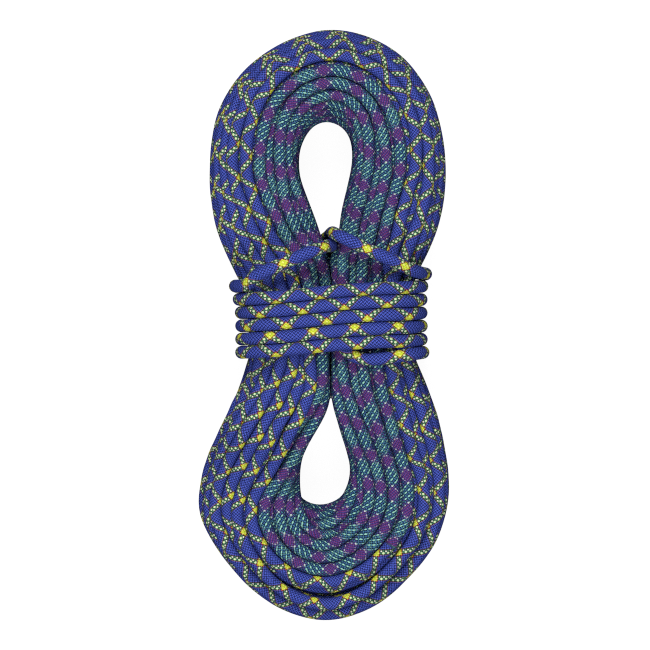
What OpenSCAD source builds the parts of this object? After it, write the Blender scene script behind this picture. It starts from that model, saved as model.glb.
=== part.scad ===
// Dynamic climbing rope in two sheath patterns, packed as a two-lobed hank.
// The hank lies flat on its underside. +Z up, +Y along the hank, +X across it.
// Lengths are in millimetres.

/* [Rope] */
// Diameter of the rope over its sheath
rope_d = 9.8; // [9.6:0.1:9.8]
// Thickness of the braided sheath
sheath_wall = 1.1; // [1.0:0.1:1.2]
// Core strands round the middle three
ring_cores = 9; // [7:1:9]
// Diameter of one core strand
core_d = 1.7; // [1.5:0.1:1.8]

/* [Hank] */
// Section area of one leg of the hank, all turns together
leg_area = 5700; // [5400:50:5800]
// Wraps round the waist
wraps = 6; // [3:1:6]
// Distance from one wrap to the next
wrap_pitch = 9.95; // [9.9:0.01:10]

/* [Tails] */
// Length of each free tail past its bend
tail_len = 84; // [60:1:90]
// Length of the sleeve shrunk over each rope end
sleeve_len = 24; // [16:1:30]
// Thickness of that sleeve
sleeve_wall = 0.3; // [0.2:0.05:0.3]
// Length of the fused tip
tip_len = 5; // [4:0.5:6]

/* [Quality] */
// Steps between two stations of the hank's outline
steps = 2; // [1:1:3]
// Sides of the swept rope
sides = 10; // [8:1:12]

/* [Hidden] */
$fn = 48;

rr = rope_d / 2;

BLUE = [0.24, 0.25, 0.66];
TEAL = [0.20, 0.42, 0.46];
CORE = [0.93, 0.92, 0.88];
TAPE = [0.92, 0.80, 0.20];
BLACK = [0.08, 0.08, 0.09];
FUSED = [0.14, 0.15, 0.30];

// Stations round the hank, clockwise from the top of the upper lobe:
// eye side x y, outer side x y, share of the width that the inner turns take.
ST = [
    [3, 153, 4, 221.5, 0.60],
    [10, 151, 30, 216, 0.60],
    [16, 146, 55, 200, 0.59],
    [20, 138, 75, 174, 0.58],
    [21, 127, 86, 147, 0.57],
    [20, 114, 90, 120, 0.56],
    [17, 100, 88.5, 94, 0.56],
    [14, 86, 84, 72, 0.56],
    [11, 73, 79, 56, 0.56],
    [10.8, 60, 73, 44, 0.56],
    [6, 51, 68.5, 35, 0.56],
    [5.1, 42, 67.5, 26, 0.56],
    [5.1, 24, 67.5, 14, 0.56],
    [5.1, 2, 67.5, 2, 0.56],
    [5.1, -20, 67.5, -14, 0.56],
    [5.1, -38, 68.5, -27, 0.57],
    [5.1, -50, 73, -38, 0.58],
    [6, -60, 79, -54, 0.58],
    [10, -74, 86, -78, 0.58],
    [15, -88, 91, -102, 0.59],
    [19, -102, 93.5, -126, 0.61],
    [19, -115, 90, -149, 0.63],
    [15, -126, 80, -172, 0.65],
    [8, -133, 61, -196, 0.67],
    [1, -135, 33, -214, 0.68],
    [-5, -135, 1, -221.5, 0.68],
    [-11, -133, -30, -213, 0.67],
    [-16, -129, -57, -196, 0.65],
    [-20, -121, -78, -172, 0.62],
    [-21, -111, -90, -150, 0.60],
    [-19, -101, -93.5, -126, 0.57],
    [-15, -91, -89, -101, 0.54],
    [-8, -79, -80, -77, 0.52],
    [0, -67, -69, -54, 0.50],
    [4.7, -54, -60.5, -36, 0.50],
    [4.7, -40, -58, -24, 0.50],
    [4.7, -20, -57.5, -11, 0.50],
    [4.7, 2, -57.5, 3, 0.50],
    [4.7, 24, -58.5, 17, 0.50],
    [4.7, 40, -62, 30, 0.50],
    [3.6, 51, -68, 41, 0.50],
    [-0.8, 60, -74, 55, 0.50],
    [-2, 71, -81, 72, 0.50],
    [-8, 85, -85.5, 91, 0.50],
    [-14, 98, -87.5, 111, 0.50],
    [-19, 111, -86.5, 132, 0.51],
    [-20, 125, -82, 153, 0.52],
    [-17, 138, -72, 175, 0.54],
    [-11, 147, -54, 196, 0.56],
    [-4, 152, -26, 214, 0.58]
];
NS = len(ST);

// Height of the underside above the floor: the waist stands on its wraps
lift = 10.3;
function ease(t) = let(c = max(0, min(1, t))) c * c * (3 - 2 * c);
sag = 0.5;
function under(y) = (lift + sag) * (1 - ease((abs(y) - 76) / 30)) - sag;

function cr(p, q, r, s, t) =
    0.5 * (2 * q + (r - p) * t + (2 * p - 5 * q + 4 * r - s) * t * t
    + (3 * q - p - 3 * r + s) * t * t * t);
function station(k) = let(
    i = floor(k / steps), t = (k % steps) / steps,
    a = ST[(i + NS - 1) % NS], b = ST[i % NS],
    c = ST[(i + 1) % NS], d = ST[(i + 2) % NS])
    [for (j = [0:4]) cr(a[j], b[j], c[j], d[j], t)];

// Roundness of a leg's section: 0 at its edges, 1 in the middle
function dome(u, p) = pow(max(0, 1 - pow(abs(1 - 2 * u), p)), 1 / p);
function at(s, u, top) = let(
    w = norm([s[2] - s[0], s[3] - s[1]]),
    h = leg_area / (0.846 * w),
    x = s[0] + (s[2] - s[0]) * u, y = s[1] + (s[3] - s[1]) * u,
    k = top ? dome(u, 2.6) : -min(1, 1.1 * dome(u, 2)))
    [x, y, under(y) + h / 2 * (1 + k)];

// Section of the inner turns: a round eye side and a flat outer face
NP = 7;
function inner_section(s) = let(e = s[4]) concat(
    [at(s, 0, true)],
    [for (j = [1:NP]) at(s, e * (1 - cos(90 * j / NP)), true)],
    [for (j = [NP:-1:1]) at(s, e * (1 - cos(90 * j / NP)), false)]);
// Section of the outer turns: a flat inner face and a round outer side
function outer_section(s) = let(e = s[4] + 0.006) concat(
    [for (j = [NP:-1:1]) at(s, 1 - (1 - e) * (1 - cos(90 * j / NP)), true)],
    [at(s, 1, true)],
    [for (j = [1:NP]) at(s, 1 - (1 - e) * (1 - cos(90 * j / NP)), false)]);

// A closed band from a loop of sections
module band(rings) {
    n = len(rings);
    m = len(rings[0]);
    polyhedron(
        points = [for (r = rings) for (p = r) p],
        faces = [for (i = [0:n - 1]) for (j = [0:m - 1]) let(
            a = i * m + j, b = i * m + (j + 1) % m,
            c = ((i + 1) % n) * m + (j + 1) % m, d = ((i + 1) % n) * m + j)
            for (f = [[a, c, b], [a, d, c]]) f],
        convexity = 8);
}
// The lobes press flat on whatever the hank lies on
module pressed_flat() {
    difference() {
        children();
        translate([-150, -300, -20]) cube([300, 600, 20]);
    }
}

module coil_outer_turns() {
    color(BLUE) pressed_flat()
        band([for (k = [0:NS * steps - 1]) outer_section(station(k))]);
}

module coil_inner_turns() {
    color(TEAL) pressed_flat()
        band([for (k = [0:NS * steps - 1]) inner_section(station(k))]);
}

// Waist wraps: rounded loops that clear the two legs
wx0 = -57.5 - 0.8 - rr;
wx1 = 67.5 + 0.8 + rr;
waist_h = leg_area / (0.846 * 62.1);
wz0 = rr;
wz1 = lift + waist_h + 0.7 + rr;
wr_top = 30 + rr;
wr_bot = 20 + rr;
wy0 = -21;

// Rope swept along route points: parallel rings, joined by triangles
function unit(v) = v / norm(v);
function spline(pts, n) = [for (i = [0:len(pts) - 2]) for (t = [0:n - 1])
    let(a = pts[max(0, i - 1)], b = pts[i], c = pts[i + 1],
        d = pts[min(len(pts) - 1, i + 2)])
    cr(a, b, c, d, t / n)];
function route(pts, n) = concat(spline(pts, n), [pts[len(pts) - 1]]);
function way(p, i) = unit(p[min(len(p) - 1, i + 1)] - p[max(0, i - 1)]);
function carry(v, t) = unit(v - (v * t) * t);
function frames(p, v, i = 0) = i >= len(p) ? [] : let(
    n = carry(v, way(p, i))) concat([n], frames(p, n, i + 1));
module swept(p, first, r) {
    n = len(p);
    f = frames(p, first);
    polyhedron(
        points = [for (i = [0:n - 1]) let(t = way(p, i), a = f[i],
            b = cross(t, a)) for (j = [0:sides - 1])
            p[i] + r * (cos(360 * j / sides) * a + sin(360 * j / sides) * b)],
        faces = concat(
            [[for (j = [0:sides - 1]) j]],
            [[for (j = [sides - 1:-1:0]) (n - 1) * sides + j]],
            [for (i = [0:n - 2]) for (j = [0:sides - 1]) let(
                a = i * sides + j, b = i * sides + (j + 1) % sides)
                for (g = [[a, b + sides, b], [a, a + sides, b + sides]]) g]),
        convexity = 8);
}

wy6 = wy0 + (wraps - 1) * wrap_pitch;
// Three points round one corner of a wrap, the middle one eased outward
function corner(x, z, r, a, y) = [for (k = [0:2])
    let(q = k == 1 ? r + 1.4 : r)
    [x + q * cos(a - 45 * k), y, z + q * sin(a - 45 * k)]];
// Left side of each wrap: the leg widens under the upper ones
WX0 = [wx0, wx0, wx0, wx0, -64.6, -67.4];
// The wraps run level behind the waist and rise one pitch across its front
RISE = [[-61, 0], [-36.5, 1.3], [-18.5, 3.1], [-0.5, 5], [17.5, 6.8],
    [29.5, 7.5], [41.6, 8], [65.6, 8.7], [74, 9.95]];
function risen(pts, dy) =
    [for (p = pts) [p[0], p[1] + lookup(p[0], RISE) + dy, p[2]]];
function wrap(i) = let(y = wy0 + i * wrap_pitch, x0 = WX0[i]) concat(
    risen(corner(wx1 - wr_top, wz1 - wr_top, wr_top, 90, y), -wrap_pitch),
    corner(wx1 - wr_bot, wz0 + wr_bot, wr_bot, 0, y),
    corner(x0 + wr_bot, wz0 + wr_bot, wr_bot, -90, y),
    risen(corner(x0 + wr_top, wz1 - wr_top, wr_top, 180, y), 0),
    risen([[-10, y, wz1], [14, y, wz1]], 0));
WRAPS = concat([[10, -19, 104], [18, -25.5, 116]],
    [for (i = [0:wraps - 1]) for (p = wrap(i)) p]);
module waist_wraps() {
    color(BLUE)
        swept([for (i = [0:len(WRAPS) - 5]) WRAPS[i]], [0, 1, 0], rr - 0.1);
}

// The locking strand: over the left leg, down through the upper eye, behind
// the right leg, back over it, down through the eye and out to the left
LOCK = [
    [WX0[wraps - 1], wy6, wz1 - wr_top],
    [WX0[wraps - 1] + 2, wy6 + 1, wz1 - 19],
    [-57, 33, 117.5],
    [-40, 41.5, 126],
    [-18, 51, 126],
    [-3, 57, 121],
    [4.5, 60, 104],
    [4.9, 60, 80],
    [4.9, 60, 50],
    [4.9, 60, 26],
    [8, 59.5, 9],
    [20, 56, 4.9],
    [44, 47, 4.9],
    [60, 41, 6],
    [72.5, 38.5, 18],
    [76, 38, 40],
    [76, 38, 70],
    [74.5, 38, 94],
    [66.5, 40, 113],
    [54, 46, 123],
    [32, 56, 126],
    [14, 65, 125],
    [5, 70, 112],
    [4.9, 70.4, 84],
    [4.9, 70.4, 54],
    [4.9, 70.4, 26],
    [2, 70.2, 9],
    [-10, 68, 4.9],
    [-32, 60, 4.9],
    [-55, 55, 4.9],
    [-65, 57.2, 4.9],
    [-71.6, 62.2, 4.9],
    [-74.2, 66.4, 5.1],
    [-74.9, 69.2, 5.2]
];
module locking_strand() {
    color(BLUE) swept(route(LOCK, 1), [0, 1, 0], rr);
}

// The teal end leaves the innermost turn under the waist
LEAD = [
    [-20, -37, 14],
    [-17, -48, 11],
    [-9, -57, 8],
    [4, -61, 6],
    [22, -59, 4.9],
    [42, -55, 4.9],
    [58, -55, 4.9],
    [68, -57.4, 4.9],
    [74.2, -62.4, 4.9],
    [76.7, -66.4, 5.1],
    [77.3, -69.2, 5.2]
];
module teal_tail_lead() {
    color(TEAL) swept(route(LEAD, 1), [0, 0, 1], rr);
}

// Tails: each turns about a bend and follows a gentle arc on the floor
gap = 2.9;
tail_r = 140;
BEND_B = [-75.5, 72, 5.2];
BEND_T = [78, -72, 5.2];
HEAD_B = 107;
HEAD_T = -68.5;
// Carries a rope lying along +X from the bend, curving to the right
module tail_place(at, head) {
    translate(at) rotate([0, 0, head]) children();
}
// An arc of a profile, from distance a to distance b along the tail
module tail_arc(a, b) {
    translate([0, -tail_r, 0])
        rotate([0, 0, 90 - b / tail_r * 180 / PI])
            rotate_extrude(angle = (b - a) / tail_r * 180 / PI, $fn = 180)
                translate([tail_r, 0]) children();
}
module bend_ball() { sphere(r = rr - 0.35); }
module sheath() {
    difference() {
        tail_arc(gap, tail_len - tip_len)
            difference() {
                circle(r = rr);
                circle(r = rr - sheath_wall);
            }
        sphere(r = rr - 0.2);
    }
}
module core_strands() {
    for (k = [0:2])
        tail_arc(gap + 3, tail_len - tip_len - 0.1)
            rotate(90 + 120 * k) translate([core_d * 0.62, 0])
                circle(r = core_d / 2);
    for (k = [0:ring_cores - 1])
        tail_arc(gap + 3, tail_len - tip_len - 0.1)
            rotate(360 * k / ring_cores)
                translate([rr - sheath_wall - core_d / 2 - 0.06, 0])
                    circle(r = core_d / 2);
}
module marker_tape() {
    tail_arc(gap + 3, tail_len - tip_len - 0.1)
        translate([-0.1, -0.14]) square([0.2, 0.28]);
}
module end_sleeve() {
    tail_arc(tail_len - tip_len - sleeve_len, tail_len - tip_len)
        difference() {
            circle(r = rr + sleeve_wall);
            circle(r = rr);
        }
}
module end_tip() {
    a = tail_len - tip_len;
    tail_arc(a + 0.05, tail_len - 1.6) circle(r = rr - 0.3);
    translate([0, -tail_r, 0])
        rotate([0, 0, -(tail_len - 1.6) / tail_r * 180 / PI])
            translate([0, tail_r, 0]) rotate([0, 90, 0])
                cylinder(r1 = rr - 0.3, r2 = rr - 1.5, h = 1.6);
}

module blue_tail_bend() { color(BLUE) tail_place(BEND_B, HEAD_B) bend_ball(); }
module blue_tail_sheath() { color(BLUE) tail_place(BEND_B, HEAD_B) sheath(); }
module blue_tail_core_strands() {
    color(CORE) tail_place(BEND_B, HEAD_B) core_strands();
}
module blue_tail_marker_tape() {
    color(TAPE) tail_place(BEND_B, HEAD_B) marker_tape();
}
module blue_end_sleeve() { color(BLACK) tail_place(BEND_B, HEAD_B) end_sleeve(); }
module blue_end_tip() { color(FUSED) tail_place(BEND_B, HEAD_B) end_tip(); }

module teal_tail_bend() { color(TEAL) tail_place(BEND_T, HEAD_T) bend_ball(); }
module teal_tail_sheath() { color(TEAL) tail_place(BEND_T, HEAD_T) sheath(); }
module teal_tail_core_strands() {
    color(CORE) tail_place(BEND_T, HEAD_T) core_strands();
}
module teal_tail_marker_tape() {
    color(TAPE) tail_place(BEND_T, HEAD_T) marker_tape();
}
module teal_end_sleeve() { color(BLACK) tail_place(BEND_T, HEAD_T) end_sleeve(); }
module teal_end_tip() { color(FUSED) tail_place(BEND_T, HEAD_T) end_tip(); }

coil_outer_turns();
coil_inner_turns();
waist_wraps();
locking_strand();
blue_tail_bend();
blue_tail_sheath();
blue_tail_core_strands();
blue_tail_marker_tape();
blue_end_sleeve();
blue_end_tip();
teal_tail_lead();
teal_tail_bend();
teal_tail_sheath();
teal_tail_core_strands();
teal_tail_marker_tape();
teal_end_sleeve();
teal_end_tip();
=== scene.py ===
"""A two-pattern kernmantle rope packed as a two-lobed hank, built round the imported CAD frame.

The rope is one path from the teal tip to the blue tip. Each turn of the hank
starts in a slot of the hank's section, then all turns are pressed together by
a small position-based relaxation until they lie against each other.
Lengths in the first part are millimetres, in the hank's own frame.
"""
import math
import bpy
import numpy as np
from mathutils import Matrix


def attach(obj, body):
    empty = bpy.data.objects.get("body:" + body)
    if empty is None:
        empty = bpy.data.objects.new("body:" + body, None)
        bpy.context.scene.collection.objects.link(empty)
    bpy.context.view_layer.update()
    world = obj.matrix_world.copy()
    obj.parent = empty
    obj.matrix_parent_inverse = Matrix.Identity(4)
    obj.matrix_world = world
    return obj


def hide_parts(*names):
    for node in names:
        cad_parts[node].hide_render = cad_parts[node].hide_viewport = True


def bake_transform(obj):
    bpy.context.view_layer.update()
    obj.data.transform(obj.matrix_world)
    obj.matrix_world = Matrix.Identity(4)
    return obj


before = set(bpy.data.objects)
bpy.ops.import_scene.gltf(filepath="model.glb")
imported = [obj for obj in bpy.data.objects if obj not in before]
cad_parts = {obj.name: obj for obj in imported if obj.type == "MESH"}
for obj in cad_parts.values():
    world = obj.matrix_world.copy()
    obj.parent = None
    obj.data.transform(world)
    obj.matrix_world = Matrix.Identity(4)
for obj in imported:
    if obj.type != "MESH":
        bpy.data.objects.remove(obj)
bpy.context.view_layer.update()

# ---------------------------------------------------------------- camera
cam_data = bpy.data.cameras.new("camera")
cam = bpy.data.objects.new("camera", cam_data)
bpy.context.scene.collection.objects.link(cam)
bpy.context.scene.camera = cam
FAR, FOCUS_Z = 5.0, 0.082
cam_data.sensor_width = 36.0
cam_data.lens = 36.0*FAR/0.48815
cam.location = (0.00025, -0.0005, FAR+FOCUS_Z)
cam.rotation_euler = (0, 0, 0)
cam_data.clip_end = 50.0

# ---------------------------------------------------------------- the hank's outline
D = 9.8
R = D/2
# stations clockwise from the top of the upper lobe: eye side x y, outer side x y
ST = np.array([
    [3, 153, 4, 222.5], [10, 151, 33, 217.5], [16, 146, 60, 201.5], [20, 138, 79.5, 175],
    [21, 127, 88.5, 147.5], [19.5, 114, 92, 120], [15.8, 100, 90.5, 94], [12.5, 86, 85.5, 72],
    [11, 73, 79, 56], [7.0, 60, 73, 44], [0.2, 51.5, 68.5, 35], [4.6, 42, 67.5, 26],
    [4.7, 24, 67.5, 14], [4.7, 2, 67.5, 2], [4.4, -20, 67.5, -14], [4.1, -38, 68.5, -27],
    [4.2, -50.5, 73, -38], [5.8, -60, 79, -54], [10, -74, 86, -78], [15, -88, 91, -102],
    [19, -102, 93.5, -126], [19, -115, 90, -149], [15, -126, 80, -172], [9.5, -132.6, 60, -195],
    [2.5, -135.5, 33, -215.5], [-5, -136.8, 0, -224.4], [-13.5, -134.6, -33.5, -215.5], [-20, -129.6, -58.5, -197.5],
    [-24, -121, -79, -173], [-24.8, -111.4, -91.5, -150], [-23, -101.4, -91.5, -126], [-19, -91.4, -85.5, -101],
    [-11.4, -79.4, -76, -77], [-1.5, -67, -67, -54], [5.3, -54.5, -60.5, -36], [5.8, -40, -58, -24],
    [5.1, -20, -57.5, -11], [5.1, 2, -57.5, 3], [5.1, 24, -58.5, 17], [5.2, 40, -62, 30],
    [9.6, 51, -68, 41], [2.8, 60, -74, 55], [-4, 71, -80.5, 72], [-11, 85, -84.3, 91],
    [-17, 98, -86, 111], [-21, 111, -84.8, 132], [-21, 125, -81.8, 153], [-17, 138, -73.6, 175],
    [-11, 147, -56.4, 196.5], [-4, 152, -27.5, 214.6]], float)
NS = len(ST)
LIFT = 10.3
AREA = 5700.0


def ease(t):
    c = np.clip(t, 0, 1)
    return c*c*(3-2*c)


def smoother(t):
    t = np.clip(t, 0, 1)
    return t*t*t*(t*(6*t-15)+10)


def under(y):
    """height of the hank's underside: the waist stands on its wraps"""
    return LIFT*(1-ease((np.abs(y)-76)/30))


def station(s):
    s = np.asarray(s, float) % NS
    i = np.floor(s).astype(int)
    t = (s-i)[:, None]
    p, q, r, w = (ST[(i+k) % NS] for k in (-1, 0, 1, 2))
    return 0.5*(2*q+(r-p)*t+(2*p-5*q+4*r-w)*t*t+(3*q-p-3*r+w)*t**3)


def place(s, u, v):
    g = station(s)
    w = np.hypot(g[:, 2]-g[:, 0], g[:, 3]-g[:, 1])
    h = height(s, w)
    lat = (R+u*(w-D))/w
    x = g[:, 0]+(g[:, 2]-g[:, 0])*lat
    y = g[:, 1]+(g[:, 3]-g[:, 1])*lat
    return np.stack([x, y, under(y)+h/2+v*(h/2-R)], 1)


# how square the section is at each station, on the eye side and on the outer side
RIM = np.array([
    [0, 1.9, 2.2], [4, 2.4, 2.35], [7, 3.0, 2.35], [8.5, 4.5, 2.35], [10, 8, 2.35], [16, 8, 2.35], [17, 7, 2.35],
    [18.5, 4.5, 2.35], [21, 2.6, 2.6], [25, 1.8, 3.6], [29, 2.6, 2.6], [32, 4.5, 2.35], [33, 7, 2.35], [34, 8, 2.35],
    [40.5, 8, 2.35], [42, 4.5, 2.35], [45, 3.0, 2.35], [50, 1.9, 2.2]], float)


def powers(s):
    s = np.asarray(s, float) % NS
    return np.interp(s, RIM[:, 0], RIM[:, 1]), np.interp(s, RIM[:, 0], RIM[:, 2])


def height(s, w):
    """height of the section for its width, so that it keeps its area"""
    f = [np.interp(p, [1.8, 1.9, 2, 2.35, 2.6, 3.2, 3.6, 4.5, 8],
                   [.752, .769, .785, .830, .854, .895, .913, .940, .979]) for p in powers(s)]
    return AREA/(0.981*np.minimum((f[0]+f[1])/2, 0.8625)*w)


def rim(a, b, pq=(3.2, 2.35)):
    """1 on the section's rim"""
    p = np.where(a < 0, pq[0], pq[1])
    return (np.abs(a)**p+np.abs(b)**p)**(1/p)


# ---------------------------------------------------------------- slots of the turns in one leg's section
CW, CH = 68-D, 98.5-D
ROWS = [5, 6, 7, 6, 7, 6, 7, 6, 6, 5, 4]


def settle():
    pts = [((c-(n-1)/2)*9.6-1.6, 0.80*CH/2-r*8.55) for r, n in enumerate(ROWS) for c in range(n)]
    p = np.array(pts)+np.random.RandomState(4).uniform(-.35, .35, (len(pts), 2))
    for _ in range(500):
        d = p[:, None]-p[None]
        l = np.hypot(d[..., 0], d[..., 1])
        np.fill_diagonal(l, 1e9)
        p = p+(d*(np.clip(9.62-l, 0, None)/l)[..., None]).sum(1)*0.28
        q = rim(p[:, 0]/(CW/2), p[:, 1]/(CH/2))
        p = p*np.where(q > 1, 1/q, 1)[:, None]
    return p


N_TEAL = 38


def order(p):
    """the order in which the turns fill the slots: strip after strip, up and down"""
    x, z = p[:, 0], p[:, 1]
    idx = np.argsort(x+0.10*z)
    teal, blue = idx[:N_TEAL], idx[N_TEAL:]
    kt = np.argsort(x[teal])
    s1, s2, s3 = teal[kt[:11]], teal[kt[11:22]], teal[kt[22:]]
    o = list(s1[np.argsort(z[s1])])+list(s2[np.argsort(-z[s2])])+list(s3[np.argsort(z[s3])])
    kb = np.argsort(x[blue])
    b1, b2 = blue[kb[:9]], blue[kb[9:]]
    return np.array(o+list(b1[np.argsort(-z[b1])])+list(b2[np.argsort(z[b2])]))


# how far the section has turned about its middle at each station, in degrees
PHI = np.array([
    [0, -9], [4, 1], [7, 2], [12, -2], [18, -3], [21, -14], [25, -26], [28, -8], [30, 14],
    [31.5, 25], [34, 30], [37, 31], [40, 24], [42, 17], [44, 12], [46, 11], [48, 2]], float)


def phi(s):
    x = np.concatenate([PHI[:, 0]-50, PHI[:, 0], PHI[:, 0]+50])
    y = np.tile(PHI[:, 1], 3)
    s = np.asarray(s) % NS
    k = np.linspace(-2.5, 2.5, 11)
    w = np.exp(-k**2/3)
    return np.radians(sum(wi*np.interp(s+ki, x, y) for ki, wi in zip(k, w))/w.sum())


def turned(ab, st):
    """slots turned about the section's middle and fitted to the section at each station"""
    a, b = ab[:, 0], ab[:, 1]
    q, f = rim(a, b), phi(st)
    c, s = np.cos(f), np.sin(f)
    a2, b2 = a*c-b*s, a*s+b*c
    k = q/np.maximum(rim(a2, b2, powers(st)), 1e-9)
    return np.stack([a2*k, b2*k], 1)


S0 = 39.5           # the station where each turn starts
LAST = 22.0         # stations of the last turn


def coil(p, o):
    ab = p[o]/np.array([CW/2, CH/2])
    n = len(o)
    t = np.arange(0, 50*(n-1)+LAST, 0.125)
    k = np.floor(t/50).astype(int)
    s = t-50*k
    w = smoother((s-41.5)/8.5)[:, None]
    q = ab[k]*(1-w)+ab[np.minimum(k+1, n-1)]*w
    st = s+S0
    q = turned(q, st)
    return place(st, (q[:, 0]+1)/2, q[:, 1]), st % NS, k.astype(float)


# ---------------------------------------------------------------- the other stretches of the path
def crspline(p, n=8):
    p = np.asarray(p, float)
    q = np.vstack([2*p[0]-p[1], p, 2*p[-1]-p[-2]])
    t = np.linspace(0, 1, n, endpoint=False)[:, None]
    out = [0.5*(2*b+(c-a)*t+(2*a-5*b+4*c-d)*t*t+(3*b-a-3*c+d)*t**3)
           for a, b, c, d in zip(q[:-3], q[1:-2], q[2:-1], q[3:])]
    return np.vstack(out+[p[-1:]])


def resample(p, h, *cols):
    l = np.concatenate([[0], np.cumsum(np.linalg.norm(np.diff(p, axis=0), axis=1))])
    t = np.linspace(0, l[-1], max(2, int(round(l[-1]/h))+1))
    i = np.clip(np.searchsorted(l, t), 0, len(l)-1)
    return (np.stack([np.interp(t, l, p[:, c]) for c in range(3)], 1),)+tuple(c[i] for c in cols)


def arc(cx, cz, q, a0, a1, n=7):
    t = np.radians(np.linspace(a0, a1, n))
    return np.stack([cx+q*np.cos(t), np.zeros(n), cz+q*np.sin(t)], 1)


# how far a wrap has risen at x on its way across the front
RISE = np.array([[-61, 0], [-36.5, 1.3], [-18.5, 3.1], [-0.5, 5], [17.5, 6.8], [29.5, 7.5],
                 [41.6, 8], [65.6, 8.7], [74, 9.95]], float)
WY0, PITCH = -21.0, 9.95
WX0 = [-62.3, -62.3, -62.3, -62.6, -64.2, -67.0]
WX1 = [73.8, 72.5, 72.5, 72.4, 72.4, 73.0]


def rise(x):
    return np.interp(x, RISE[:, 0], RISE[:, 1])


def wraps():
    """six wraps: level behind the waist, rising one pitch across its front"""
    z0, z1, rt, rb = 4.9, 124.2, 34.9, 24.9
    out = []
    for i in range(6):
        x0, x1 = WX0[i], WX1[i]
        w = [arc(x1-rt, z1-rt, rt, 90, 0), arc(x1-rb, z0+rb, rb, 0, -90),
             np.array([[c, 0, z0] for c in (39, 25, 5, -15, -29)]),
             arc(x0+rb, z0+rb, rb, -90, -180), arc(x0+rt, z1-rt, rt, 180, 90),
             np.array([[-10, 0, z1], [14, 0, z1]])]
        w[0][:, 1] = rise(w[0][:, 0])-PITCH
        w[4][:, 1] = rise(w[4][:, 0])
        w[5][:, 1] = rise(w[5][:, 0])
        w = np.vstack(w)
        w[:, 1] += WY0+PITCH*i
        out.append(w[3:] if i == 0 else w[:-5] if i == 5 else w)
    return np.vstack(out)


UNDER_WRAPS = np.array([
    [45.5, 24, 112], [39.5, 17, 113.5], [32, 13.6, 114], [25, 12.2, 114.2], [16.5, 7.5, 114.2],
    [11.5, 0, 114.2], [10.5, -7, 114.2], [12, -14, 114.2], [16.5, -20.5, 114.3], [23, -24.7, 115],
    [30, -26, 116.3], [38, -26, 117.8], [48, -24.8, 119.2], [57, -23.4, 117]], float)
LOCK = np.array([
    [-57, 33, 117.5], [-40, 41.5, 126], [-18, 51, 126], [-3, 57, 121], [4.5, 59.2, 104],
    [4.9, 58.4, 80], [5, 57.6, 53], [6, 56.2, 31], [9.6, 55.4, 17], [17, 54.6, 8.4], [28, 52.2, 4.9], [44, 47, 4.9],
    [60, 41, 6], [72.5, 38.5, 18], [76, 38, 40], [76, 38, 70], [74.5, 38, 94], [66.5, 40, 113],
    [54, 46, 123], [32, 56, 126], [15, 64, 125], [7.2, 67.9, 113], [6.9, 68.4, 84],
    [6.2, 69.2, 56], [5.2, 69.2, 36], [3.2, 67, 19], [-2.5, 63, 9.4], [-11, 59.5, 4.9], [-32, 56.5, 4.9],
    [-55, 55, 4.9], [-65, 57.2, 4.9], [-71.6, 62.2, 4.9], [-74.2, 66.4, 5.1], [-74.9, 69.2, 5.2]], float)
LEAD = np.array([
    [77.3, -69.2, 5.2], [76.7, -66.4, 5.1], [74.2, -62.4, 4.9], [68, -57.4, 4.9],
    [58, -54, 4.9], [42, -53, 4.9], [22, -53, 4.9], [4, -52, 6], [-9, -49, 8.5],
    [-17, -42, 11.5], [-20, -32, 13.5], [-20.5, -18, 13.8], [-20.5, -2, 13.8], [-19.5, 14, 13.8]], float)
BEND_B, HEAD_B = (-75.5, 72, 5.2), 107
BEND_T, HEAD_T = (78, -72, 5.2), -68.5
TAIL, TAIL_R = 84.0, 140.0


def tail(at, head, a=0.0, b=TAIL, n=40):
    """an arc on the floor from distance a to b past the bend, curving to the right"""
    s = np.linspace(a, b, n)
    h = math.radians(head)
    x, y = TAIL_R*np.sin(s/TAIL_R), -TAIL_R*(1-np.cos(s/TAIL_R))
    return np.stack([at[0]+x*np.cos(h)-y*np.sin(h), at[1]+x*np.sin(h)+y*np.cos(h), np.full(n, at[2])], 1)


# ---------------------------------------------------------------- relaxation
def near(x, cell, skip):
    """pairs of nodes closer than a cell that aren't neighbours along the rope"""
    g = np.floor((x-x.min(0))/cell).astype(np.int64)+1
    n = g.max(0)+3
    key = (g[:, 0]*n[1]+g[:, 1])*n[2]+g[:, 2]
    o = np.argsort(key, kind="stable")
    ks = key[o]
    ii, jj = [], []
    for a in (-1, 0, 1):
        for b in (-1, 0, 1):
            for c in (-1, 0, 1):
                if (a, b, c) < (0, 0, 0):
                    continue
                k2 = ks+(a*n[1]+b)*n[2]+c
                lo, hi = np.searchsorted(ks, k2, "left"), np.searchsorted(ks, k2, "right")
                cnt = hi-lo
                i = np.repeat(np.arange(len(ks)), cnt)
                j = np.arange(cnt.sum())-np.repeat(np.cumsum(cnt)-cnt, cnt)+np.repeat(lo, cnt)
                if (a, b, c) == (0, 0, 0):
                    m = j > i
                    i, j = i[m], j[m]
                ii.append(o[i])
                jj.append(o[j])
    i, j = np.concatenate(ii), np.concatenate(jj)
    m = np.abs(i-j) > skip
    i, j = i[m], j[m]
    d = x[i]-x[j]
    m = (d*d).sum(1) < cell*cell
    return i[m], j[m]


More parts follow.
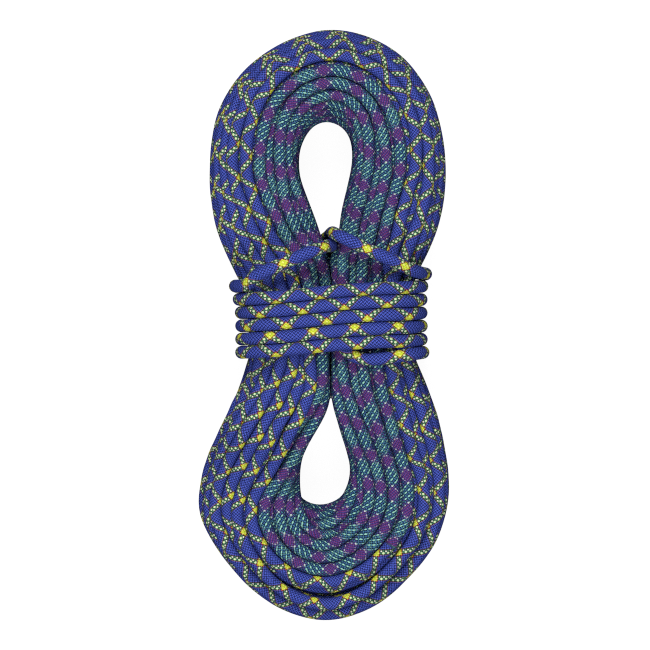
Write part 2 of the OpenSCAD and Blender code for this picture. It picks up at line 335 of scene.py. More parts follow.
def relax(x0, fixed, st, iters=160, d=9.75, cell=12.5, keep=0.30):
    x = x0.copy()
    n = len(x)
    l0 = np.linalg.norm(np.diff(x0, axis=0), axis=1)
    lap0 = x0[1:-1]-0.5*(x0[:-2]+x0[2:])
    w = 1-fixed
    h = np.median(l0)
    skip = int(np.ceil(2.2*D/h))
    on = np.where(st >= 0)[0]
    g = station(st[on])
    ga = g[:, 0:2]
    gw = np.hypot(*(g[:, 2:4]-ga).T)
    gu = (g[:, 2:4]-ga)/gw[:, None]
    gh, gp = height(st[on], gw), powers(st[on])
    for it in range(iters):
        if it % 6 == 0:
            i, j = near(x, cell, skip)
        t = np.empty_like(x)
        t[1:-1] = x[2:]-x[:-2]
        t[0], t[-1] = x[1]-x[0], x[-1]-x[-2]
        t /= np.linalg.norm(t, axis=1)[:, None]
        r = x[j]-x[i]
        a1, a2 = (r*t[i]).sum(1), (r*t[j]).sum(1)
        first = np.abs(a1) < np.abs(a2)
        al = np.where(first, a1, a2)
        perp = r-al[:, None]*np.where(first[:, None], t[i], t[j])
        dist = np.linalg.norm(perp, axis=1)+1e-9
        ok = (np.abs(al) < 0.62*h) & (dist < d)
        ci, cj, di = i[ok], j[ok], dist[ok]
        c = ((d-di)/di)[:, None]*perp[ok]
        wi, wj = w[ci], w[cj]
        ws = np.maximum(wi+wj, 1e-6)
        dx = np.stack([np.bincount(ci, weights=-c[:, a]*wi/ws, minlength=n)
                       + np.bincount(cj, weights=c[:, a]*wj/ws, minlength=n) for a in range(3)], 1)
        cnt = np.bincount(ci, minlength=n)+np.bincount(cj, minlength=n)
        x = x+dx*(0.9/np.maximum(1, 0.55*cnt))[:, None]
        for _ in range(2):
            e = (x[1:-1]-0.5*(x[:-2]+x[2:])-lap0)*keep
            x[1:-1] -= e*w[1:-1, None]*0.66
            x[:-2] += 0.33*e*w[:-2, None]
            x[2:] += 0.33*e*w[2:, None]
        for _ in range(2):
            for par in (0, 1):
                s = slice(par, None, 2)
                v = x[1:][s]-x[:-1][s]
                l = np.linalg.norm(v, axis=1)
                q = (0.5*(l-l0[s])/l)[:, None]*v
                x[:-1][s] += q*w[:-1][s][:, None]*0.8
                x[1:][s] -= q*w[1:][s][:, None]*0.8
        y = x[on]
        a = 2*(((y[:, :2]-ga)*gu).sum(1)-R)/(gw-D)-1
        b = (y[:, 2]-under(y[:, 1])-gh/2)/(gh/2-R)
        q = rim(a, b, gp)
        k = np.where(q > 1, 1/q, 1)-1
        m = w[on]*0.7
        x[on, 0] += gu[:, 0]*a*k*(gw-D)/2*m
        x[on, 1] += gu[:, 1]*a*k*(gw-D)/2*m
        x[on, 2] += b*k*(gh/2-R)*m
        x[:, 2] = np.maximum(x[:, 2], R)
    return x


def whole(h=8.6):
    """nodes of the whole rope and what each belongs to"""
    p = settle()
    x, st, k = coil(p, order(p))
    x, st, k = resample(x, h, st, k)
    head = resample(crspline(np.vstack([LEAD, x[3:14:3]])), h)[0]
    foot = crspline(np.vstack([x[-14:-3:3], UNDER_WRAPS, wraps(), LOCK]))
    foot = resample(foot, h)[0]
    nh = int(round(np.linalg.norm(np.diff(x[3:13], axis=0), axis=1).sum()/h))
    body, st, k = x[13:-14], st[13:-14], k[13:-14]
    nodes = np.vstack([head, body, foot])
    st = np.concatenate([np.full(len(head), -1.0), st, np.full(len(foot), -1.0)])
    fixed = np.concatenate([np.ones(len(head)), np.zeros(len(body)), np.ones(len(foot))])
    k = np.concatenate([np.full(len(head), -1.0), k, np.full(len(foot), 99.0)])
    # the ends of the turns give way a little where they are led in and out
    fixed[len(head)-nh:len(head)] = np.linspace(1, 0.2, nh)
    m = len(head)+len(body)
    fixed[m:m+8] = np.linspace(0.2, 1, 8)
    return nodes, st, fixed, k, len(head), m


NODES_, ST_, FIX_, TURN_, N_HEAD, N_FOOT = whole()
X = relax(NODES_, FIX_, ST_)

# ---------------------------------------------------------------- meshes
MM = 0.001
SLACK, TIGHT = 81.0, 93.9     # rope that one tile of the sheath's map covers, in the turns and pulled tight in the wraps
R_TURN = 4.70        # a little under the rope's size, which opens the seams
R_WRAP = 4.84


def bspline(p, n):
    """a uniform cubic B-spline through nearly every node, which also evens them out"""
    q = np.vstack([2*p[0]-p[1], p, 2*p[-1]-p[-2]])
    t = np.linspace(0, 1, n, endpoint=False)[:, None]
    w = [(1-t)**3/6, (3*t**3-6*t*t+4)/6, (-3*t**3+3*t*t+3*t+1)/6, t**3/6]
    a, b, c, d = q[:-3], q[1:-2], q[2:-1], q[3:]
    out = w[0][None]*a[:, None]+w[1][None]*b[:, None]+w[2][None]*c[:, None]+w[3][None]*d[:, None]
    return np.vstack([out.reshape(-1, 3), p[-1:]])


def frames(p):
    """directions, and a pair of side vectors carried along without twisting"""
    t = np.empty_like(p)
    t[1:-1] = p[2:]-p[:-2]
    t[0], t[-1] = p[1]-p[0], p[-1]-p[-2]
    t /= np.linalg.norm(t, axis=1)[:, None]
    n = np.empty_like(p)
    v = np.array([0.0, 0.0, 1.0])
    for i in range(len(p)):
        ti = t[i]
        v = v-(v @ ti)*ti
        v = v/math.sqrt(v @ v)
        n[i] = v
    return t, n, np.cross(t, n)


def link(name, verts, faces, uvs=None, smooth=True):
    me = bpy.data.meshes.new(name)
    verts = np.asarray(verts, float)
    faces = [np.asarray(f, np.int32) for f in faces]
    me.vertices.add(len(verts))
    me.vertices.foreach_set("co", (verts*MM).ravel())
    total = sum(f.size for f in faces)
    starts, loops, at = [], [], 0
    for f in faces:
        starts.append(at+np.arange(len(f))*f.shape[1])
        loops.append(f.ravel())
        at += f.size
    me.loops.add(total)
    me.polygons.add(sum(len(f) for f in faces))
    me.loops.foreach_set("vertex_index", np.concatenate(loops).astype(np.int32))
    me.polygons.foreach_set("loop_start", np.concatenate(starts).astype(np.int32))
    if uvs is not None:
        layer = me.uv_layers.new(name="OFBake")
        layer.data.foreach_set("uv", np.concatenate([u.reshape(-1, 2) for u in uvs]).astype(np.float32).ravel())
    me.update(calc_edges=True)
    me.validate()
    me.polygons.foreach_set("use_smooth", np.full(len(me.polygons), smooth))
    ob = bpy.data.objects.new(name, me)
    bpy.context.scene.collection.objects.link(ob)
    return ob


def tube(name, p, fr, sides, radius, u0, v0, ends=(True, True)):
    """a round tube whose map has u once round it and v along it, both whole at a tile"""
    t, n, b = fr
    m = len(p)
    a = np.arange(sides)/sides*2*np.pi
    rad = np.broadcast_to(np.asarray(radius, float), (m,))[:, None, None]
    ring = p[:, None]+rad*(np.cos(a)[None, :, None]*n[:, None]+np.sin(a)[None, :, None]*b[:, None])
    verts = ring.reshape(-1, 3)
    i, j = np.meshgrid(np.arange(m-1), np.arange(sides), indexing="ij")
    j2 = (j+1) % sides
    quads = np.stack([i*sides+j, i*sides+j2, (i+1)*sides+j2, (i+1)*sides+j], -1).reshape(-1, 4)
    base = np.floor(v0[:-1])[:, None]
    ubase = np.floor(u0[:-1])[:, None]
    ua = np.broadcast_to(u0[:-1, None]-ubase, i.shape)
    ub = np.broadcast_to(u0[1:, None]-ubase, i.shape)
    va = np.broadcast_to(v0[:-1, None]-base, i.shape)
    vb = np.broadcast_to(v0[1:, None]-base, i.shape)
    ja, jb = j/sides, (j+1)/sides
    uv = np.stack([np.stack([ua+ja, va], -1), np.stack([ua+jb, va], -1),
                   np.stack([ub+jb, vb], -1), np.stack([ub+ja, vb], -1)], 2).reshape(-1, 4, 2)
    faces, uvs = [quads], [uv]
    for which, row, vv, uu in ((ends[0], 0, v0[0], u0[0]), (ends[1], m-1, v0[-1], u0[-1])):
        if which:
            ids = row*sides+np.arange(sides)
            ids = ids[::-1] if row == 0 else ids
            faces.append(ids[None])
            uvs.append(np.tile([uu % 1, vv % 1], (1, sides, 1))+0.001*np.stack([np.cos(a), np.sin(a)], -1)[None])
    return link(name, verts, faces, uvs)


# ---------------------------------------------------------------- node materials
class Ex:
    """a value in a node tree that can be added, multiplied and so on"""

    def __init__(self, tree, sock):
        self.tree, self.sock = tree, sock

    def op(self, name, *others, clamp=False):
        nd = self.tree.nodes.new("ShaderNodeMath")
        nd.operation = name
        nd.use_clamp = clamp
        for k, o in enumerate((self,)+others):
            if isinstance(o, Ex):
                self.tree.links.new(o.sock, nd.inputs[k])
            else:
                nd.inputs[k].default_value = o
        return Ex(self.tree, nd.outputs[0])

    def __add__(self, o): return self.op("ADD", o)
    def __radd__(self, o): return self.op("ADD", o)
    def __sub__(self, o): return self.op("SUBTRACT", o)
    def __rsub__(self, o): return self.op("MULTIPLY_ADD", -1.0, o)
    def __mul__(self, o): return self.op("MULTIPLY", o)
    def __rmul__(self, o): return self.op("MULTIPLY", o)
    def __truediv__(self, o): return self.op("DIVIDE", o)
    def floor(self): return self.op("FLOOR")
    def mod(self, m): return self.op("FLOORED_MODULO", m)
    def lt(self, v): return self.op("LESS_THAN", v)
    def gt(self, v): return self.op("GREATER_THAN", v)
    def abs(self): return self.op("ABSOLUTE")
    def pow(self, v): return self.op("POWER", v)
    def pow2(self): return self.op("MULTIPLY", self)
    def max(self, v): return self.op("MAXIMUM", v)
    def min(self, v): return self.op("MINIMUM", v)
    def clamp(self): return self.op("ADD", 0.0, clamp=True)


def srgb(h, k=1.0):
    h = h.lstrip("#")
    c = [int(h[i:i+2], 16)/255 for i in (0, 2, 4)]
    return tuple(k*(x/12.92 if x <= 0.04045 else ((x+0.055)/1.055)**2.4) for x in c)+(1.0,)


def mix(tree, fac, a, b, kind="MIX"):
    nd = tree.nodes.new("ShaderNodeMix")
    nd.data_type = "RGBA"
    nd.blend_type = kind
    for s, v in ((nd.inputs[0], fac), (nd.inputs[6], a), (nd.inputs[7], b)):
        if isinstance(v, Ex):
            tree.links.new(v.sock, s)
        else:
            s.default_value = v
    return Ex(tree, nd.outputs[2])


def fmix(f, a, b):
    """a where f is 0, b where f is 1"""
    return a+f*(b-a) if isinstance(a, Ex) or isinstance(b, Ex) else f*(b-a)+a


def table(tree, x, colours):
    """colours by whole number: x is from 0 to len(colours)"""
    nd = tree.nodes.new("ShaderNodeValToRGB")
    nd.color_ramp.interpolation = "CONSTANT"
    n = len(colours)
    el = nd.color_ramp.elements
    runs = [(0, colours[0])]
    for k in range(1, n):
        if colours[k] != colours[k-1]:
            runs.append((k, colours[k]))
    while len(el) < len(runs):
        el.new(0.999)
    while len(el) > len(runs):
        el.remove(el[-1])
    for e, (k, c) in zip(el, runs):
        e.position = k/n
        e.color = c
    tree.links.new(((x+0.5)/float(n)).sock, nd.inputs[0])
    return Ex(tree, nd.outputs[0])


def flag(x, lanes):
    """1 on the lanes in the list, by whole number"""
    out = None
    for k in lanes:
        f = (x-float(k)).abs().lt(0.5)
        out = f if out is None else out+f
    return out


def new_material(name):
    m = bpy.data.materials.new(name)
    m.use_nodes = True
    tree = m.node_tree
    tree.nodes.clear()
    out = tree.nodes.new("ShaderNodeOutputMaterial")
    bsdf = tree.nodes.new("ShaderNodeBsdfPrincipled")
    tree.links.new(bsdf.outputs[0], out.inputs[0])
    return m, tree, bsdf


def torus_noise(tree, u, v, scale, detail=2.0, seed=0.0):
    """noise that repeats with every whole u and v"""
    tau = 2*math.pi
    cu, su = (u*tau).op("COSINE"), (u*tau).op("SINE")
    cv, sv = (v*tau).op("COSINE"), (v*tau).op("SINE")
    nd = tree.nodes.new("ShaderNodeTexNoise")
    nd.noise_dimensions = "4D"
    nd.inputs["Scale"].default_value = scale
    nd.inputs["Detail"].default_value = detail
    com = tree.nodes.new("ShaderNodeCombineXYZ")
    for k, e in enumerate((cu+seed, su, cv*2.9)):
        tree.links.new(e.sock, com.inputs[k])
    tree.links.new(com.outputs[0], nd.inputs["Vector"])
    tree.links.new((sv*2.9).sock, nd.inputs["W"])
    return Ex(tree, nd.outputs[0])


LANES = 11


def wrapped(x, at, period):
    """signed distance from the nearest of the places at, at + period, ..."""
    return (x-(at-period/2)).mod(period)-period/2


def fall(x, r0, r1):
    """1 up to r0, 0 from r1 on"""
    return ((r1-x)*(1.0/(r1-r0))).clamp()


def dot(x, y, rx, ry, soft=0.22):
    """a soft round spot, and how high it stands"""
    r2 = (x*(1/rx)).pow2()+(y*(1/ry)).pow2()
    r = r2.op("SQRT")
    return fall(r, 1-soft, 1+soft), (1.0-r2).clamp().op("SQRT")


class Weave:
    """a braid of 11 pairs of yarns each way, one pair over and one under, from the map's u and v"""

    def __init__(self, tree):
        uvn = tree.nodes.new("ShaderNodeUVMap")
        uvn.uv_map = "OFBake"
        sep = tree.nodes.new("ShaderNodeSeparateXYZ")
        tree.links.new(uvn.outputs[0], sep.inputs[0])
        u, v = Ex(tree, sep.outputs[0]), Ex(tree, sep.outputs[1])
        n = float(LANES)
        self.tree, self.u, self.v = tree, u, v
        self.p = p = (u+v*3.0)*n                  # counts the pairs that run "\"
        self.q = q = (u-v*3.0)*n                  # counts the pairs that run "/"
        i, j = p.floor(), q.floor()
        fp, fq = p-i, q-j
        self.over = over = (i-j).mod(2.0).lt(0.5)  # the "\" pair is on top
        across, along = fmix(over, fq, fp), fmix(over, fp, fq)
        self.im, self.jm = i.mod(n), j.mod(n)
        # single yarns, 0 to 21 each way
        self.iy, self.jy = (p*2.0).floor().mod(2*n), (q*2.0).floor().mod(2*n)
        sub = (across*2.0).mod(1.0)
        c, s, l = across*2.0-1.0, sub*2.0-1.0, along*2.0-1.0
        prof = (1.0-s.pow2()).max(0.0).op("SQRT")
        ends = (1.0-l.pow2()).max(0.0).op("SQRT")
        self.sub = sub
        self.height = prof*(0.15+0.85*ends)*(1.0-0.25*c.pow2())
        # painted light on the middle of each float, painted shade where it dives under the crossing yarns
        self.lit = (1.10-0.20*c.pow2()-0.50*s.pow2()-1.30*l.pow2()).clamp()
        self.nz = torus_noise(tree, u, v, 3.0, 3.0)
        self.fib = (sub*(2*math.pi*3.0)+self.nz*9.0).op("SINE")


def shaded(tree, col, k):
    """the colour times a number"""
    com = tree.nodes.new("ShaderNodeCombineColor")
    for s in com.inputs[:3]:
        tree.links.new(k.sock, s)
    return mix(tree, 1.0, col, Ex(tree, com.outputs[0]), "MULTIPLY")


CLOTH = 0.4


def finish_sheath(tree, bsdf, w, col, height):
    col = shaded(tree, col, ((0.92+0.08*w.fib)*(0.84+0.32*w.nz))*CLOTH)
    tree.links.new(col.sock, bsdf.inputs["Base Color"])
    bump = tree.nodes.new("ShaderNodeBump")
    bump.inputs["Strength"].default_value = 0.8
    bump.inputs["Distance"].default_value = 0.00035
    tree.links.new((height+w.fib*0.05).sock, bump.inputs["Height"])
    tree.links.new(bump.outputs[0], bsdf.inputs["Normal"])
    tree.links.new((0.66+0.2*(1.0-height)).sock, bsdf.inputs["Roughness"])
    bsdf.inputs["Specular IOR Level"].default_value = 0.08
    bsdf.inputs["Sheen Weight"].default_value = 0.0
    bsdf.inputs["Sheen Roughness"].default_value = 0.5


def blue_sheath():
    """blue ground, with one tracer each way of mint and cream yarns among dark green ones"""
    m, tree, bsdf = new_material("blue_sheath")
    w = Weave(tree)
    # the blue ground: painted light on each float's middle, painted shade where it dives
    col = mix(tree, w.lit, srgb("#060844"), srgb("#566ADA"))
    a, c = wrapped(w.p, 0.5, 11.0), wrapped(w.q, 0.5, 11.0)
    high = w.height
    # the reddish yarns that border each tracer, with painted light on their float middles and painted shade where they
    # dive
    fr = fall((a-0.37).abs(), 1.12, 1.44).max(fall((c-0.37).abs(), 1.12, 1.44))
    col = mix(tree, fr*0.8, col, mix(tree, w.lit, srgb("#280E0A"), srgb("#B4643C")))
    # the dark green yarns along each tracer, with painted light on their float middles and painted shade where they
    # dive
    gr = fall((a-0.37).abs(), 0.84, 1.10).max(fall((c-0.37).abs(), 0.84, 1.10))
    col = mix(tree, gr, col, mix(tree, w.lit, srgb("#08140F"), srgb("#46846A")))
    mint = [dot(a, wrapped(w.q, 0.5, 2.0), 0.55, 0.61), dot(c, wrapped(w.p, 1.5, 2.0), 0.55, 0.61)]
    cream = [dot(a-0.80, wrapped(w.q, 1.36, 2.0), 0.36, 0.42), dot(c-0.80, wrapped(w.p, 2.36, 2.0), 0.36, 0.42)]
    # each mint and cream dot is painted darker towards its rim, from tint to shade: painted shade on its rounded top
    for (mk, h), shade, tint in ((cream[0], srgb("#8C8270"), srgb("#FBF8EA")), (cream[1], srgb("#8C8270"), srgb("#FBF8EA")),
                                 (mint[0], srgb("#568E5A"), srgb("#E8FFC6")), (mint[1], srgb("#568E5A"), srgb("#E8FFC6"))):
        col = mix(tree, mk, col, mix(tree, h, shade, tint))
        high = high.max(h*mk)
    # where the two tracers cross: orange and yellow yarns, with painted light on their float middles and painted shade
    # where they dive
    sx, sy = a-0.22, c-0.22
    far = sx.abs().max(sy.abs())
    low = (0.0-sx-sy)
    ember = mix(tree, (low*0.8+0.35).clamp(), srgb("#F0A028"), srgb("#D0481C"))
    col = mix(tree, fall(far, 1.42, 1.85)*0.95, col, mix(tree, w.lit, srgb("#2A0C06"), ember))
    lit_yellow = mix(tree, w.over, srgb("#DEF03C"), srgb("#FAFE7C"))
    col = mix(tree, fall(far, 1.18, 1.36), col, mix(tree, (w.lit*1.6).clamp(), srgb("#CCD62E"), lit_yellow))
    finish_sheath(tree, bsdf, w, col, high)
    return m


def yarns(base, special):
    out = [base]*(2*LANES)
    for k, c in special.items():
        out[k] = c
    return out


def teal_sheath():
    """teal with mint dashes; four purple pairs each way make a patch where they cross"""
    m, tree, bsdf = new_material("teal_sheath")
    w = Weave(tree)
    violet = [13, 14, 15, 16, 17, 18, 19, 20, 21, 0]
    z = yarns(srgb("#4C8AB0"), {k: srgb("#544C98") for k in violet})
    s = yarns(srgb("#3A66A2"), {k: srgb("#584CA0") for k in violet})
    colz, cols = table(tree, w.jy, z), table(tree, w.iy, s)
    base = mix(tree, w.over, colz, cols)
    # a purple patch: its "/" yarns show through the others as long strokes
    patch = fall(wrapped(w.p, 9.0, 11.0).abs().max(wrapped(w.q, 9.0, 11.0).abs()), 1.2, 3.5)
    odd = w.jy.mod(2.0).gt(0.5)
    mg = mix(tree, (w.nz*1.6-0.3).clamp(), srgb("#764092"), srgb("#AA448C"))
    base = mix(tree, patch*0.8, base, mix(tree, odd, srgb("#52439A"), mg))
    # painted light on each float's middle, painted shade where it dives, weaker in the purple patch
    col = shaded(tree, base, 0.01+0.99*fmix(patch, w.lit, w.lit*0.65+0.35))
    high = w.height
    # mint dashes on every second "/" pair of the teal part, each painted darker towards its rim: painted shade on its
    # rounded top
    for lane in (0, 2, 4, 6):
        x = wrapped(w.q, lane+0.42, 11.0)
        y = wrapped(w.p, float((lane+1) % 2)+0.5, 2.0)
        mk, h = dot(x, y, 0.30, 0.80)
        keep = 1.0-w.im.gt(6.5)*0.85
        if lane in (0, 6):
            keep = keep*(1.0-0.5*w.im.gt(4.5))
        col = mix(tree, mk*keep, col, mix(tree, h, srgb("#46908C"), srgb("#B2EACE")))
        high = high.max(h*mk)
        # the small dot that hooks on to each dash, with the same painted shade towards its rim
        mk, h = dot(wrapped(w.p, lane+0.75, 11.0), wrapped(w.q, float(lane % 2)+0.5, 2.0), 0.25, 0.42)
        col = mix(tree, mk*keep*(1.0-w.jm.gt(6.5))*0.55, col, mix(tree, h, srgb("#3E8C7C"), srgb("#A6E4C8")))
    # white dots that border the purple patches, one line of them each way on both sides, each painted darker towards
    # its rim: painted shade on its rounded top
    for lane, off in ((0, 0.25), (6, 0.75)):
        mk, h = dot(wrapped(w.p, lane+off, 11.0), wrapped(w.q, float(lane % 2)+0.5, 2.0), 0.27, 0.50)
        near_ = w.jm.gt(5.5).max(w.jm.lt(0.5))
        col = mix(tree, mk*(0.12+0.5*near_), col, mix(tree, h, srgb("#7C86A0"), srgb("#F2F6F4")))
        high = high.max(h*mk)
        mk, h = dot(wrapped(w.q, lane+off, 11.0), wrapped(w.p, float((lane+1) % 2)+0.5, 2.0), 0.25, 0.50)
        near_ = w.im.gt(5.5).max(w.im.lt(0.5))
        col = mix(tree, mk*near_*0.55, col, mix(tree, h, srgb("#8A7A86"), srgb("#EFE4D8")))
        high = high.max(h*mk)
    finish_sheath(tree, bsdf, w, col, high)
    return m


BLUE, TEAL = blue_sheath(), teal_sheath()


# ---------------------------------------------------------------- the rope's pieces
def dense(nodes, n):
    return bspline(nodes, n)


LEAD_KEEP = 4          # nodes of the lead that belong to the tail piece
tail_t = tail(BEND_T, HEAD_T, 0.0, TAIL-3.0, 12)[::-1]
tail_b = tail(BEND_B, HEAD_B, 0.0, TAIL-3.0, 12)
ROPE = np.vstack([tail_t[:-1], [BEND_T], X, [BEND_B], tail_b[1:]])
FRONT = len(tail_t)
FINE = bspline(ROPE, 4)                       # rings about 2.2 mm apart
FR = frames(FINE)
arc_len = np.concatenate([[0], np.cumsum(np.linalg.norm(np.diff(FINE, axis=0), axis=1))])
TOTAL = arc_len[-1]
taut = ease((arc_len-arc_len[(FRONT+N_FOOT)*4]+10)/40)
V0 = np.concatenate([[0], np.cumsum(np.diff(arc_len)/(SLACK+(TIGHT-SLACK)*0.5*(taut[1:]+taut[:-1])))])
a_tail = (FRONT+LEAD_KEEP)*4
a_mid = int(np.searchsorted(arc_len, TOTAL*0.5))
a_bind = (FRONT+N_FOOT+6)*4
a_tb = (FRONT+len(X)-LEAD_KEEP)*4

# the map's u at the rope's upper side: purple patches face up, and the blue
# half's tracers mostly cross at the sides of the turns
UP = np.unwrap(np.arctan2(FR[2][:, 2], FR[1][:, 2]), period=2*math.pi)/(2*math.pi)
ker = np.exp(-np.linspace(-2, 2, 17)**2)
UP = np.convolve(np.pad(UP, 8, mode="edge"), ker/ker.sum(), mode="valid")
roll = np.random.RandomState(11).uniform(-1, 1, 400)
TOP = np.where(np.arange(len(FINE)) < a_mid, 0.818, 0.390)
TOP = TOP+np.where(np.arange(len(FINE)) < a_mid, 0.06, 0.10)*np.interp(arc_len, np.arange(400)*310.0, roll)
U0 = TOP-UP
U0[a_bind:] = U0[a_bind]

# in the wraps and the locking strand the places where the tracers cross are known:
# lowest and highest y of the strand there, x, and degrees from its upper side
SEEN = [(0, -35, 58), (0, 25, 58), (1, -39.6, -30), (1, 22.3, -30), (2, -29, 36), (2, 32.1, 36),
        (3, -45.6, 50), (3, 14.5, 50), (4, -35, 70), (4, 28, 70)]


def crossing(i, x):
    """the ring of wrap i, on its way across the front, that is nearest to x"""
    k = np.arange(a_bind, a_tb)
    p = FINE[k]
    d = np.abs(p[:, 0]-x)+20*(np.abs(p[:, 1]-(WY0+PITCH*i+rise(x))) > 4)+50*(p[:, 2] < 108)+50*(FR[0][k, 0] < 0)
    return int(k[np.argmin(d)])


def passing(x, y, way):
    """the ring of the locking strand nearest to x, y on top of the hank"""
    k = np.arange(a_bind, a_tb)
    p = FINE[k]
    d = np.hypot(p[:, 0]-x, p[:, 1]-y)+50*(p[:, 2] < 105)+50*(FR[0][k, 0]*way < 0)
    return int(k[np.argmin(d)])


marks = [(passing(24, -25.3, 1), -28), (passing(55, -23.7, 1), -27)]
marks += [(crossing(i, x), a) for i, x, a in SEEN]
marks += [(passing(-57, 33, 1), -30), (passing(-30.8, 46.1, 1), 0), (passing(-2.75, 57.5, 1), 0),
          (passing(58.1, 44.2, -1), 0), (passing(30.8, 56.9, -1), 0)]
at_, du, dv = [a_bind], [U0[a_bind]], [0.0]
for k, deg in marks:
    best = None
    for half in (0, 1):
        u = 0.0655+0.5*half-deg/360-UP[k]
        u += round(du[-1]-u)
        v = V0[k]+dv[-1]
        dvv = (round(v*3-0.5*half)+0.5*half)/3-v
        cost = abs(u-du[-1])+1.5*abs(dvv)
        if best is None or cost < best[0]:
            best = (cost, u, dv[-1]+dvv)
    at_.append(k)
    du.append(best[1])
    dv.append(best[2])
U0[a_bind:] = np.interp(arc_len[a_bind:], arc_len[at_], du)
V0[a_bind:] += np.interp(arc_len[a_bind:], arc_len[at_], dv)


def piece(name, a, b, step, sides, radius, ends=(True, True)):
    idx = np.arange(a, b+1, step)
    if idx[-1] != b:
        idx = np.append(idx, b)
    fr = tuple(f[idx] for f in FR)
    return tube(name, FINE[idx], fr, sides, radius, U0[idx], V0[idx], ends), FINE[idx]


def put(ob, mat, body):
    ob.data.materials.append(mat)
    if body:
        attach(ob, body)
    return ob


teal_turns, path_tt = piece("teal_turns", a_tail, a_mid, 2, 14, R_TURN)
blue_turns, path_bt = piece("blue_turns", a_mid, a_bind, 2, 14, R_TURN)
binding, path_bi = piece("binding_wraps_and_lock", a_bind, a_tb, 1, 18, R_WRAP)
teal_end, path_te = piece("teal_tail_rope", 0, a_tail, 1, 20, R)
blue_end, path_be = piece("blue_tail_rope", a_tb, len(FINE)-1, 1, 20, R)
put(teal_turns, TEAL, "hank")
put(blue_turns, BLUE, "hank")
put(binding, BLUE, "hank")
teal_end.data.materials.append(TEAL)
blue_end.data.materials.append(BLUE)


def across(at, head, before, after):
    h = math.radians(head)
    d = np.array([math.cos(h), math.sin(h), 0])
    return tuple((np.array(at)-d*before)*MM), tuple((np.array(at)+d*after)*MM)


s, e = across(BEND_T, HEAD_T, 9, 13)
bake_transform(teal_end)
s, e = across(BEND_B, HEAD_B, 9, 13)
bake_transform(blue_end)

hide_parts("coil_inner_turns")
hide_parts("coil_outer_turns")
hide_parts("waist_wraps", "locking_strand")
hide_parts("teal_tail_lead", "teal_tail_bend", "teal_tail_sheath")
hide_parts("blue_tail_bend", "blue_tail_sheath")


# ---------------------------------------------------------------- rope ends
def simple(name, colour, rough, bump_scale, bump_mm, noise_mix, spec=0.5, coat=0.0, coord="Object"):
    m, tree, bsdf = new_material(name)
    tc = tree.nodes.new("ShaderNodeTexCoord")
    nd = tree.nodes.new("ShaderNodeTexNoise")
    nd.inputs["Scale"].default_value = bump_scale
    nd.inputs["Detail"].default_value = 4.0
    tree.links.new(tc.outputs[coord], nd.inputs["Vector"])
    f = Ex(tree, nd.outputs[0])
    col = mix(tree, f, tuple(c*(1-noise_mix) for c in colour[:3])+(1,), tuple(min(1, c*(1+noise_mix)) for c in colour[:3])+(1,))
    tree.links.new(col.sock, bsdf.inputs["Base Color"])
    bump = tree.nodes.new("ShaderNodeBump")
    bump.inputs["Distance"].default_value = bump_mm*MM
    tree.links.new(f.sock, bump.inputs["Height"])
    tree.links.new(bump.outputs[0], bsdf.inputs["Normal"])
    tree.links.new((rough-0.12+0.24*f).sock, bsdf.inputs["Roughness"])
    bsdf.inputs["Specular IOR Level"].default_value = spec
    bsdf.inputs["Coat Weight"].default_value = coat
    return m


SLEEVE = simple("end_sleeve_plastic", srgb("#1A1A1D"), 0.42, 900.0, 0.10, 0.35)
FUSED_B = simple("fused_nylon_blue", srgb("#20264F"), 0.30, 700.0, 0.35, 0.5, coat=0.3)
FUSED_T = simple("fused_nylon_teal", srgb("#1B3C48"), 0.30, 700.0, 0.35, 0.5, coat=0.3)
CORE = simple("core_yarn_white", srgb("#ECE9DF"), 0.75, 2500.0, 0.15, 0.10)
TAPE = simple("marker_tape_yellow", srgb("#E6C533"), 0.45, 1200.0, 0.05, 0.12)


def sleeve(name, at, head):
    a, b = 55.0, 79.0
    n = 60
    p = tail(at, head, a-0.2, b+0.2, n)
    f = frames(p)
    s = np.linspace(0, 1, n)
    edge = np.minimum(s, 1-s)*(b-a)
    r = np.where(edge < 0.5, 4.93+0.27*np.sqrt(np.clip(1-(1-edge/0.5)**2, 0, 1)), 5.2)
    sides = 40
    ang = np.arange(sides)/sides*2*np.pi
    # the braid shows through as a faint quilting
    q = 0.035*np.cos(20*ang[None]+2*np.pi*s[:, None]*16)*np.cos(20*ang[None]-2*np.pi*s[:, None]*16)
    rr = r[:, None]-0.035+q*np.clip(edge/1.5, 0, 1)[:, None]
    ring = p[:, None]+rr[..., None]*(np.cos(ang)[None, :, None]*f[1][:, None]+np.sin(ang)[None, :, None]*f[2][:, None])
    i, j = np.meshgrid(np.arange(n-1), np.arange(sides), indexing="ij")
    j2 = (j+1) % sides
    quads = np.stack([i*sides+j, i*sides+j2, (i+1)*sides+j2, (i+1)*sides+j], -1).reshape(-1, 4)
    return link(name, ring.reshape(-1, 3), [quads, np.arange(sides)[::-1][None], ((n-1)*sides+np.arange(sides))[None]])


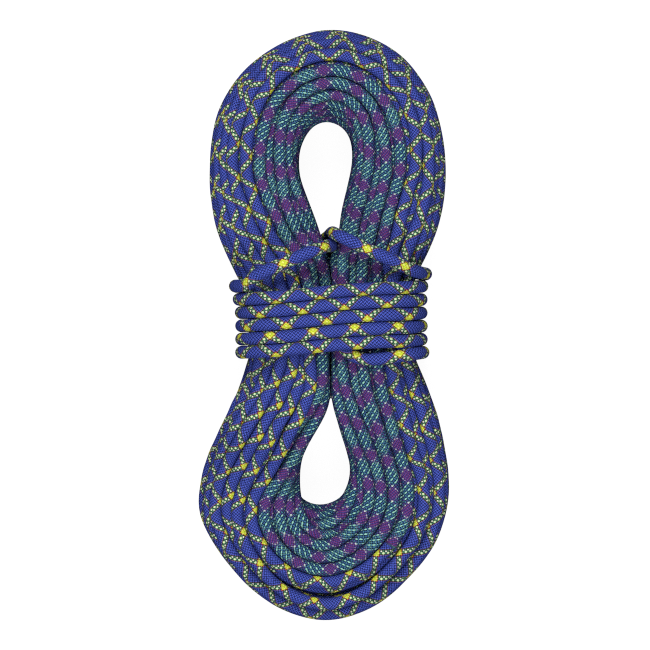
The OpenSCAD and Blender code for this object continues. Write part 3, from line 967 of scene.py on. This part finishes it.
def tip(name, at, head, seed):
    """the fused end: a flattened dome with a lip where the nylon ran"""
    prof = [(78.6, 4.70), (79.2, 4.82), (79.8, 4.78), (80.4, 4.62), (81.2, 4.5), (82.0, 4.32),
            (82.8, 3.95), (83.4, 3.35), (83.75, 2.5), (83.92, 1.4), (83.98, 0.5)]
    rng = np.random.RandomState(seed)
    sides = 36
    ang = np.arange(sides)/sides*2*np.pi
    rings = []
    h = math.radians(head)
    for s, r in prof:
        c = tail(at, head, s, s, 1)[0]
        hd = h-s/TAIL_R
        n = np.array([-math.sin(hd), math.cos(hd), 0.0])
        b = np.array([0.0, 0.0, 1.0])
        t = np.array([math.cos(hd), math.sin(hd), 0.0])
        wob = r*(1+0.012*np.sin(3*ang+rng.rand()*6)+0.01*np.sin(7*ang+rng.rand()*6))
        slip = 0.10*np.sin(2*ang+seed)*(s > 81)
        rings.append(c+wob[:, None]*(np.cos(ang)[:, None]*n+np.sin(ang)[:, None]*b)+slip[:, None]*t)
    v = np.vstack(rings)
    n = len(prof)
    i, j = np.meshgrid(np.arange(n-1), np.arange(sides), indexing="ij")
    j2 = (j+1) % sides
    quads = np.stack([i*sides+j2, i*sides+j, (i+1)*sides+j, (i+1)*sides+j2], -1).reshape(-1, 4)
    return link(name, v, [quads, np.arange(sides)[None], ((n-1)*sides+np.arange(sides))[::-1][None]])


for tag, at, head, fused in (("blue", BEND_B, HEAD_B, FUSED_B), ("teal", BEND_T, HEAD_T, FUSED_T)):
    sl = sleeve(tag+"_sleeve", at, head)
    put(sl, SLEEVE, tag+"_tail")
    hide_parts(tag+"_end_sleeve")
    tp = tip(tag+"_tip", at, head, 3 if tag == "blue" else 8)
    put(tp, fused, tag+"_tail")
    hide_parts(tag+"_end_tip")
    for node, mat in (("_tail_core_strands", CORE), ("_tail_marker_tape", TAPE)):
        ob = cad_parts[tag+node]
        if not ob.material_slots:
            ob.data.materials.append(mat)
        for sk in ob.material_slots:
            sk.material = mat

# ---------------------------------------------------------------- floor and light
bpy.ops.mesh.primitive_plane_add(size=6.0, location=(0, 0, 0))
floor = bpy.context.object
floor.name = "floor"
fm, ft, fb = new_material("floor_white")
fb.inputs["Base Color"].default_value = (0.05, 0.05, 0.05, 1)
fb.inputs["Roughness"].default_value = 0.9
fb.inputs["Specular IOR Level"].default_value = 0.0
fb.inputs["Emission Color"].default_value = (1, 1, 1, 1)
fb.inputs["Emission Strength"].default_value = 0.95
floor.data.materials.append(fm)
floor.visible_diffuse = False       # white in the picture, without lighting the rope from below
floor.visible_glossy = False

world = bpy.data.worlds.new("world")
bpy.context.scene.world = world
world.use_nodes = True
world.node_tree.nodes["Background"].inputs[0].default_value = (1, 1, 1, 1)
world.node_tree.nodes["Background"].inputs[1].default_value = 0.018


def area(name, loc, size, energy, target=(0, 0, 0.05)):
    ld = bpy.data.lights.new(name, "AREA")
    ld.shape = "SQUARE"
    ld.size = size
    ld.energy = energy
    ob = bpy.data.objects.new(name, ld)
    bpy.context.scene.collection.objects.link(ob)
    ob.location = loc
    d = np.array(target)-np.array(loc)
    from mathutils import Vector
    ob.rotation_euler = Vector(d).to_track_quat("-Z", "Y").to_euler()
    return ob


# soft boxes: one overhead, one beyond the upper lobe, one before the lower one
area("key", (-0.16, 0.3, 2.7), 1.4, 50.0)
area("key_back", (-0.2, 1.6, 2.3), 1.2, 98.0)
area("key_front", (0.1, -1.5, 2.3), 1.2, 88.0)
# low soft fills, so that the sides aren't black
area("left", (-2.6, 0.0, 0.5), 0.9, 18.0)
area("right", (2.6, 0.0, 0.5), 0.9, 18.0)
area("front", (0.0, -2.6, 0.5), 0.9, 10.0)
area("back", (0.0, 2.6, 0.5), 0.9, 12.0)
bpy.context.scene.view_settings.view_transform = "Standard"
bpy.context.scene.view_settings.look = "None"
bpy.context.scene.cycles.use_denoising = False      # it would smooth the weave away
bpy.context.scene.cycles.filter_width = 1.15
